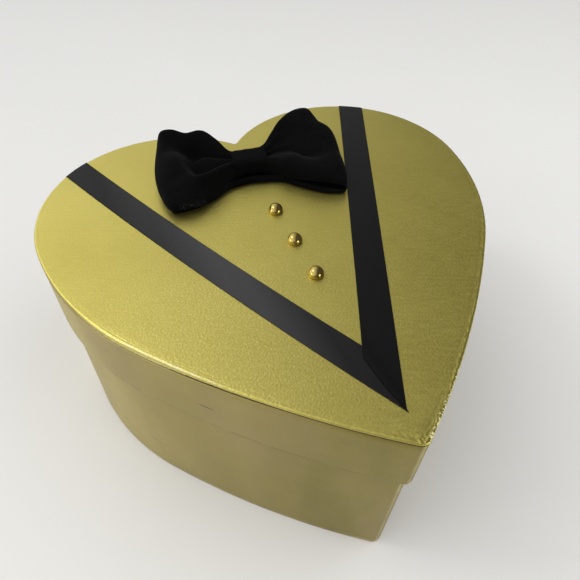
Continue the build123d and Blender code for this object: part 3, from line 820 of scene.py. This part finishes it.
# %% Lay the ribbons
COLUMNS, ROWS_ON_TOP, ROWS_ROUND, ROWS_DOWN = 12, 70, 8, 16
UNDERLAP, OVERLAP, OVERLAP_RISE, OVERLAP_REACH = 3.0, 6.5, 0.34, 15.0
GLUE_LIFT, RIPPLE, RIPPLE_SCALE = 0.03, 0.10, 0.05
# Where along the left ribbon the painted sheen lies, and where the ribbon goes dull.
SHEEN_FROM, SHEEN_TO, SHEEN_FADE = 74.0, 98.0, 48.0
DULL_FROM, DULL_TO = 125.0, 195.0


def lapel_point(side, share, row):
    """A point a share of the width in and some rows along a lapel, and its run along the ribbon."""
    along, out, centre, outer_radius = lapel_arc(side)
    to_lobe = Vector((side * lobe_centre.x, lobe_centre.y, 0)) - centre
    lobe_angle = atan2(to_lobe.dot(along), to_lobe.dot(out))
    radius = outer_radius - RIBBON_WIDTH * share
    start = LAPEL_POINT.lerp(lapel_notch(), share) - centre
    lap = UNDERLAP * (0.3 + 0.7 * sin(pi * share)) if side < 0 else OVERLAP * sin(pi / 2 * share)
    begin = atan2(start.dot(along), start.dot(out)) - lap / radius
    bend = min(max(row - ROWS_ON_TOP, 0) / ROWS_ROUND, 1) * pi / 2
    down = max(row - ROWS_ON_TOP - ROWS_ROUND, 0) / ROWS_DOWN
    reach = LOBE_RADIUS - EDGE_RADIUS * (1 - sin(bend))
    opening = acos((radius**2 + to_lobe.length_squared - reach**2) / (2 * radius * to_lobe.length))
    angle = begin + (lobe_angle + opening - begin) * min(row / ROWS_ON_TOP, 1)
    run = radius * (angle - begin)
    height = LID_TOP - EDGE_RADIUS * (1 - cos(bend)) - down * (LID_TOP - EDGE_RADIUS - RIM_FOOT)
    ripple = RIPPLE * max(0.0, noise.noise(Vector((run * RIPPLE_SCALE, share, side))))
    rise = GLUE_LIFT + ripple * (1 - bend / pi * 2)
    if side > 0:
        rise += OVERLAP_RISE * clamp(1 - (run - lap) / OVERLAP_REACH) ** 2
    return centre + radius * (cos(angle) * out + sin(angle) * along) + up(height + rise), run


def lay_ribbon(name, side, node):
    """Lays a ribbon from the V to the lobe on its side and over its edge."""
    rows = ROWS_ON_TOP + ROWS_ROUND + ROWS_DOWN
    bm = bmesh.new()
    bm.loops.layers.uv.new("UVMap")
    sheen_layer = bm.verts.layers.float.new("wear_and_sheen")
    dull_layer = bm.verts.layers.float.new("dull")
    bmesh.ops.create_grid(bm, x_segments=COLUMNS, y_segments=rows, size=1, calc_uvs=True)
    for vert in bm.verts:
        share, row = (vert.co.x + 1) / 2, round((vert.co.y + 1) / 2 * rows)
        vert.co, run = lapel_point(side, share, row)
        if side < 0:
            past = max(SHEEN_FROM - run, run - SHEEN_TO, 0.0)
            vert[sheen_layer] = max(0.0, 1 - past / SHEEN_FADE)
            vert[dull_layer] = clamp((run - DULL_FROM) / (DULL_TO - DULL_FROM))
    for edge in bm.edges:
        edge.smooth = not edge.is_boundary
    if side > 0:
        bmesh.ops.reverse_faces(bm, faces=bm.faces)
    area = area_of(bm)
    ribbon = finish_piece(bm, name, "lid", "ribbon", node)
    thicken(ribbon, RIBBON_THICKNESS, 1)
    dress(ribbon, RIBBON_FINISHES[side])
    print(name, "area", round(area), "square mm, mean length", round(area / RIBBON_WIDTH, 1))


lay_ribbon("lapel_left", -1, "lapel_ribbon_left")
lay_ribbon("lapel_right", 1, "lapel_ribbon_right")

# %% [markdown]
# ## The velvet bow
# A made-up bow is a wide strip of velvet, brought round into a loop on each side and pinched by a band.
# So each wing has a front layer that goes out from the knot, turns at the end and comes back below.
# The pinch folds the front layer into two rolls with a valley between. Sections across the wing, from
# the knot out and back, are written down as a sail maker would, and a smooth curve runs through them.

# %% Velvet
VELVET_DARK, VELVET_LIGHT = (0.0022, 0.0022, 0.0022, 1), (0.0050, 0.0050, 0.0050, 1)
VELVET_LINT, VELVET_SHEEN = (0.20, 0.20, 0.19, 1), (0.6, 0.6, 0.66, 1)

velvet, tree, shader = new_finish("velvet")
pile = grain(tree, 1500.0, 2.0, 0.6)
crush = grain(tree, (60, 90, 90), 3.0, turn=20)
specks = grain(tree, 2400.0, 1.0, 0.5)
lint = times(tree, fit(tree, specks, 0.56, 0.72, 0.0, 0.30), marked(tree, "hem"))
cloth = blend(tree, fit(tree, plus(tree, pile, crush), 0.7, 1.3), VELVET_DARK, VELVET_LIGHT)
cloth = blend(tree, lint, cloth, VELVET_LINT)
set_shader(shader, Base_Color=cloth, Roughness=1.0, Specular_IOR_Level=0.02)
set_shader(shader, Sheen_Weight=0.06, Sheen_Roughness=0.4, Sheen_Tint=VELVET_SHEEN)
raise_surface(shader, pile, 0.25)

# %% The bow's sections
# One section is three rows of numbers. For each column, from the near edge to the far one, they give
# the distance out from the knot's middle, the distance across and the height above the lid.
BOW_PLACE = Vector((-2.0, CLEFT_Y - 31.5, LID_TOP))
BOW_TURN = radians(-7.0)

RIGHT_WING = (
    ((5,) * 11,
     (-6.6, -6.4, -5.4, -3.6, -1.2, 0.6, 2.2, 3.8, 5.2, 6.2, 6.4),
     (3.6, 5.6, 8, 9.4, 9, 9.4, 9.8, 10, 9.8, 8.4, 6.4)),
    ((12,) * 11,
     (-9.5, -9, -7.5, -4, 0.8, 2.6, 4, 5.2, 6.2, 7, 7.8),
     (3.2, 6, 8.6, 9.4, 7.4, 8.6, 9.8, 10.8, 11.4, 11.2, 9)),
    ((18,) * 11,
     (-16, -15.2, -12.5, -6.5, 2, 4.5, 7, 9.5, 11.5, 13, 14.2),
     (3.8, 6.6, 9.2, 10.2, 7.8, 9.6, 11.6, 13.2, 14.2, 14.2, 11.5)),
    ((25,) * 9 + (25.2, 25.2),
     (-21.5, -20.8, -17.5, -9.5, 0, 3.5, 8, 13, 17, 19.6, 21),
     (5.2, 8, 10.6, 11.4, 8.8, 10.8, 13.2, 15.8, 17.4, 17.8, 14.8)),
    ((33,) * 11,
     (-27.5, -26.6, -22.5, -15.5, -8.5, -3, 4, 12, 19.5, 25.6, 27.2),
     (6.6, 9.4, 11.4, 11.6, 9.4, 12, 14.6, 16.8, 18.4, 18.8, 15.8)),
    ((41, 41, 41, 41, 41.2, 41.4, 41.6, 41.6, 41.4, 41, 40.8),
     (-31, -30, -25.5, -18, -11.5, -5, 3, 11, 18.5, 27, 28.6),
     (6.6, 9.2, 11.2, 12, 11.2, 13.2, 15.2, 16.4, 17.6, 19.2, 16.4)),
    ((46.6, 47, 48.2, 49, 49.4, 50.4, 51, 50.2, 46.8, 44.4, 44),
     (-33, -32, -27, -18.5, -11, -4, 3.5, 9.5, 16.2, 25.4, 27.2),
     (5.4, 7.6, 9.6, 11.6, 12.2, 13.6, 15.2, 16.2, 16.4, 18.4, 15.6)),
    ((48, 48.6, 50.4, 51.6, 52.2, 53, 53.6, 53, 49.6, 46.4, 45.6),
     (-33.8, -32.6, -27, -18.5, -11, -4, 3.5, 9.5, 16.4, 25.6, 27.6),
     (3.4, 4.6, 6, 7.4, 8.2, 9.2, 10, 10.6, 11, 12, 10.8)),
    ((46.4, 47, 48, 48.8, 49.2, 49.6, 50, 49.4, 47, 44.4, 43.6),
     (-33.8, -33.4, -27, -18.5, -11, -4, 3.5, 9.5, 16.4, 25, 27),
     (2.4, 1.4, 1.6, 2, 2.4, 3, 3.6, 4.2, 5, 6, 6.6)),
    ((37,) * 11,
     (-30.4, -31.2, -26, -17.5, -10.5, -4, 3, 9, 15.5, 23, 25),
     (3, 1.6, 1.2, 1.4, 1.6, 1.8, 2.2, 2.8, 3.6, 4.6, 5.2)),
    ((26,) * 11,
     (-22.4, -23.6, -20.5, -13, -7.5, -2.5, 2.5, 7.5, 12.5, 18, 20),
     (3.4, 1.9, 1.2, 1.3, 1.4, 1.6, 1.8, 2, 2.4, 3, 3.4)),
    ((15,) * 11,
     (-13.4, -14.8, -13, -8, -4, -1, 2, 5, 8, 11, 12.5),
     (3.8, 2, 1, 1.3, 1.4, 1.4, 1.5, 1.6, 1.8, 2.2, 2.4)),
    ((-2,) * 11,
     (-10.4, -11.8, -10.4, -6, -3, -1, 1, 3, 5, 7.2, 8),
     (4, 2.2) + (0.8,) * 9),
)
LEFT_WING = (
    ((5,) * 11,
     (-6.6, -6.4, -5.4, -3.6, -1.8, -0.4, 1, 2.6, 4.4, 6, 6.4),
     (3.6, 5.6, 8, 9.6, 9.2, 8.8, 9.2, 9.4, 9.8, 8.6, 6.4)),
    ((12,) * 11,
     (-8.5, -7.9, -6.6, -5, -3, -1, 1, 3, 5, 6.8, 7.8),
     (3, 6, 8.2, 9.6, 8.6, 7.4, 8.4, 8, 10, 11.2, 9)),
    ((18,) * 9 + (17.5, 17.5),
     (-14, -13.3, -11.5, -9, -6, -2.5, 2.5, 6, 10, 13.4, 14.8),
     (2.4, 5.4, 8.6, 11, 8.6, 6.2, 8.8, 7.4, 12.6, 15.4, 12.5)),
    ((25,) * 8 + (24.5, 24, 24),
     (-20.5, -19.9, -17.5, -14.5, -11, -4.5, 4, 8.5, 14.5, 19.8, 21.4),
     (2.4, 5.4, 9, 12.8, 8.8, 4.8, 9.2, 5.8, 12.4, 17.6, 14.6)),
    ((33,) * 6 + (32.5,) * 2 + (33,) * 3,
     (-27, -26.4, -23, -18, -14, -6, 4, 11, 17, 21.8, 23.6),
     (2.8, 5.8, 9.2, 13.6, 10.6, 5.4, 6.0, 6.4, 12.2, 16.2, 13)),
    ((41, 41, 41, 41.5, 41.5, 41.5, 42, 41.5, 41, 40.5, 40.5),
     (-30, -29.3, -25.5, -16, -9, -2, 5, 12, 19.5, 25.4, 27.2),
     (4.2, 7, 9.6, 12.8, 14.2, 15, 14.6, 12.4, 13.8, 17.2, 14)),
    ((46.8, 47.4, 49.2, 50.4, 50.8, 50.8, 50.2, 49.2, 47.8, 46.2, 46),
     (-30, -29.3, -24.5, -16, -9.5, -3, 4, 11, 18.5, 26.4, 28.4),
     (4.4, 6.6, 8.4, 10, 11, 11.8, 12.8, 13.4, 14.4, 16.6, 13.8)),
    ((48, 49, 51.4, 53.2, 53.9, 53.9, 53.2, 51.8, 50, 48, 47.4),
     (-30.4, -29.4, -24.4, -16, -9.5, -3, 4, 11, 18.5, 26.8, 28.8),
     (3.2, 4.2, 5, 5.6, 6.2, 6.8, 7.6, 8.6, 9.6, 10.8, 9.6)),
    ((45.2, 46.4, 49, 50.6, 51, 51, 50.4, 49.2, 47.6, 46, 45.6),
     (-28, -27.2, -24, -16, -9.5, -3, 4, 11, 18.5, 26.4, 28.4),
     (1.8, 1.6, 1.6, 1.8, 2, 2.2, 2.8, 3.6, 4.6, 5.6, 6.2)),
    ((37,) * 11,
     (-26.6, -25.6, -22, -16, -9, -3, 4, 11, 18, 24, 26),
     (1.2, 1.2, 1.2, 1.4, 1.6, 1.8, 2.2, 2.8, 3.6, 4.4, 5)),
    ((26,) * 11,
     (-21, -22, -19.5, -12.5, -7, -2, 3, 8, 13, 18, 20),
     (2.8, 1.7, 1.2, 1.3, 1.4, 1.6, 1.8, 2, 2.4, 3, 3.4)),
    ((15,) * 11,
     (-13.2, -14.4, -12.6, -8, -4, -1, 2, 5, 8, 11, 12.5),
     (3.6, 1.9, 1, 1.3, 1.4, 1.4, 1.5, 1.6, 1.8, 2.2, 2.4)),
    ((1.5,) * 11,
     (-10.2, -11.6, -10.2, -6, -3, -1, 1, 3, 5, 7.2, 8),
     (3.8, 2.1) + (0.8,) * 9),
)
print("wings:", len(LEFT_WING), "and", len(RIGHT_WING), "sections")


# %% Run a smooth curve through sections
def smooth_run(points, place):
    """The point at a place along a Catmull-Rom curve through points, a whole number at each."""
    step = min(int(place), len(points) - 2)
    share = place - step
    start, end = points[step], points[step + 1]
    before = points[step - 1] if step > 0 else 2 * start - end
    after = points[step + 2] if step + 2 < len(points) else 2 * end - start
    return (
        start
        + 0.5 * share * (end - before)
        + share**2 * (before - 2.5 * start + 2 * end - 0.5 * after)
        + 0.5 * share**3 * (after - before + 3 * (start - end))
    )


def on_bow(side, out, across, height):
    """A point of the bow in the frame, from its distances out from the knot, across and up."""
    along = pointing(BOW_TURN)
    return BOW_PLACE + side * out * along + across * pointing(BOW_TURN + pi / 2) + up(height)


# %% Sew the wings
FOLD_ROW, GRID_STEPS = 7, 8
PLEATS, PLEAT_HEIGHT, PLEAT_START, PLEAT_FADE = 9, 0.9, 10, 9
RUMPLE, RUMPLE_SCALE = 0.5, 0.11
LINT_FROM, LINT_TO, LINT_COLUMN, LINT_WIDTH = 31, 46, 0.6, 0.7
WING_THICKNESS, SOFT_EDGE = 1.4, 0.4


def sew_wing(name, side, sections, node):
    """Makes one wing of the bow from its sections, with pleats that fan out from the knot."""
    columns = [[Vector(point) for point in zip(*section)] for section in sections]
    rows, width = len(columns) - 1, len(columns[0]) - 1
    bm = bmesh.new()
    hem_layer = bm.verts.layers.float.new("hem")
    bmesh.ops.create_grid(bm, x_segments=GRID_STEPS * width, y_segments=GRID_STEPS * rows, size=1)
    for vert in bm.verts:
        place, row = (vert.co.x + 1) / 2 * width, (vert.co.y + 1) / 2 * rows
        across_points = [smooth_run(section, place) for section in columns]
        out, across, height = smooth_run(across_points, row)
        on_top = clamp((FOLD_ROW - row) / 2)
        pinch = exp(-max(0.0, out - PLEAT_START) / PLEAT_FADE) * on_top * sin(pi * place / width)
        rumple = noise.noise(Vector((out * RUMPLE_SCALE, across * RUMPLE_SCALE, 5 * side)))
        pleat = PLEAT_HEIGHT * pinch * sin(PLEATS * pi * place / width + side)
        height += pleat + RUMPLE * on_top * rumple
        if side < 0 and LINT_FROM < out < LINT_TO:
            vert[hem_layer] = max(0.0, 1 - abs(place - LINT_COLUMN) / LINT_WIDTH) * on_top
        vert.co = on_bow(side, out, across, height)
    face_out(bm)
    if side < 0:
        bmesh.ops.reverse_faces(bm, faces=bm.faces)
    area = area_of(bm)
    wing = finish_piece(bm, name, "lid", "velvet", node)
    thicken(wing, WING_THICKNESS, -1)
    soften(wing, SOFT_EDGE)
    dress(wing, velvet)
    print(name, "area", round(area), "square mm")
    return wing


bow_wing_left = sew_wing("bow_wing_left", -1, LEFT_WING, "bow_left_wing")
bow_wing_right = sew_wing("bow_wing_right", 1, RIGHT_WING, "bow_right_wing")

# %% [markdown]
# ## The knot
# The knot is a narrow band of the same velvet, wrapped once round the pinched middle. A grid is wrapped
# round a rounded oblong, and its two long edges are tucked in toward the waist.

# %% Knot
KNOT_HALF_WIDTH, KNOT_HALF_ACROSS, KNOT_FOOT, KNOT_TOP = 10.0, 8.2, 2.2, 12.0
KNOT_SQUARENESS, KNOT_TUCK, KNOT_RIPPLE, KNOT_THICKNESS = 3.6, 0.05, 0.012, 1.2
KNOT_COLUMNS, KNOT_ROWS = 20, 72

knot_middle, knot_half = (KNOT_FOOT + KNOT_TOP) / 2, (KNOT_TOP - KNOT_FOOT) / 2
bm = bmesh.new()
bmesh.ops.create_grid(bm, x_segments=KNOT_COLUMNS, y_segments=KNOT_ROWS, size=1)
for vert in bm.verts:
    side, angle = vert.co.x, pi * vert.co.y
    tuck = 1 - KNOT_TUCK * abs(side) ** 6 + KNOT_RIPPLE * cos(3 * pi * side)
    oblong = abs(cos(angle)) ** KNOT_SQUARENESS + abs(sin(angle)) ** KNOT_SQUARENESS
    oblong = oblong ** (-1 / KNOT_SQUARENESS)
    across = KNOT_HALF_ACROSS * oblong * cos(angle) * tuck
    height = knot_middle + knot_half * oblong * sin(angle) * tuck
    vert.co = on_bow(1, side * KNOT_HALF_WIDTH, across, height)
bmesh.ops.remove_doubles(bm, verts=bm.verts, dist=0.01)
face_out(bm)
print("bow_knot area", round(area_of(bm)), "square mm")
bow_knot = finish_piece(bm, "bow_knot", "lid", "velvet", "bow_knot_band")
thicken(bow_knot, KNOT_THICKNESS, -1)
soften(bow_knot, SOFT_EDGE)
dress(bow_knot, velvet)

# %% [markdown]
# ## Studs and glue
# The studs are polished gold beads with a flat cut at the back. Half of a bead's outline is spun once
# round its axis. The glue squeezed out under each makes a low uneven dot, a circle raised to a taper.

# %% Stud and glue finishes
STUD_DARK, STUD_LIGHT = (0.44, 0.33, 0.090, 1), (0.54, 0.42, 0.135, 1)
GLUE_DARK, GLUE_LIGHT = (0.42, 0.34, 0.08, 1), (0.52, 0.43, 0.12, 1)

stud_metal, tree, shader = new_finish("stud_metal")
tarnish = grain(tree, 300.0, 3.0)
gold = blend(tree, tarnish, STUD_DARK, STUD_LIGHT)
rough = fit(tree, tarnish, 0.3, 0.7, 0.05, 0.11)
set_shader(shader, Base_Color=gold, Roughness=rough, Metallic=1.0)
raise_surface(shader, grain(tree, 700.0), 0.01)

glue, tree, shader = new_finish("glue")
haze = grain(tree, 500.0)
tint = blend(tree, haze, GLUE_DARK, GLUE_LIGHT)
rough = fit(tree, haze, 0.3, 0.7, 0.25, 0.40)
set_shader(shader, Base_Color=tint, Roughness=rough, Metallic=0.85)
dress(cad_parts["bow_glue_pad"], glue)

# %% Studs
STUD_RADIUS, STUD_CUT, STUD_X = 4.0, 3.6, -1.4
STUD_START, STUD_STEP = 40.1, 26.2
STUD_GLUE, GLUE_RADIUS, GLUE_TAPER, GLUE_UNEVEN, GLUE_SCALE = 0.25, 3.75, 0.86, 0.10, 0.4
ARC_STEPS, TURN_STEPS = 24, 48
STUD_YS = [BOW_PLACE.y - STUD_START - STUD_STEP * number for number in range(3)]

rise = STUD_RADIUS - STUD_CUT
foot_angle = pi - atan2(sqrt(STUD_RADIUS**2 - rise**2), rise)
for name, y in zip(("stud_upper", "stud_middle", "stud_lower"), STUD_YS):
    seat = Vector((STUD_X, y, LID_TOP + STUD_GLUE))
    middle = seat + up(rise)
    bm = bmesh.new()
    top = bm.verts.new(middle + up(STUD_RADIUS))
    arc = bmesh.ops.spin(bm, geom=[top], cent=middle, axis=(0, 1, 0), angle=foot_angle, steps=ARC_STEPS)
    foot = only(BMVert, arc["geom_last"])[0]
    bm.edges.new((foot, bm.verts.new(seat)))
    outline = bm.verts[:] + bm.edges[:]
    bmesh.ops.spin(
        bm, geom=outline, cent=middle, axis=(0, 0, 1), angle=2 * pi, steps=TURN_STEPS, use_merge=True)
    bmesh.ops.remove_doubles(bm, verts=bm.verts, dist=0.001)
    face_out(bm)
    stud = finish_piece(bm, name + "_bead", "lid", "stud_metal", name)
    stud.data.set_sharp_from_angle(angle=radians(40))
    dress(stud, stud_metal)

# %% Glue dots
bm = bmesh.new()
for y in STUD_YS:
    seat = Vector((STUD_X, y, LID_TOP))
    to_seat = Matrix.Translation(seat)
    dot = bmesh.ops.create_circle(bm, cap_ends=True, segments=TURN_STEPS, radius=GLUE_RADIUS, matrix=to_seat)
    for vert in dot["verts"]:
        vert.co += (vert.co - seat) * GLUE_UNEVEN * noise.noise(vert.co * GLUE_SCALE)
    foot = [face for face in bm.faces if face.verts[0] in dot["verts"]]
    upper = only(BMVert, bmesh.ops.extrude_face_region(bm, geom=foot)["geom"])
    bmesh.ops.translate(bm, vec=(0, 0, STUD_GLUE), verts=upper)
    bmesh.ops.scale(bm, vec=(GLUE_TAPER, GLUE_TAPER, 1), space=Matrix.Translation(-seat), verts=upper)
face_out(bm)
stud_glue = finish_piece(bm, "stud_glue", "lid", "glue", "stud_glue_dots")
dress(stud_glue, glue)
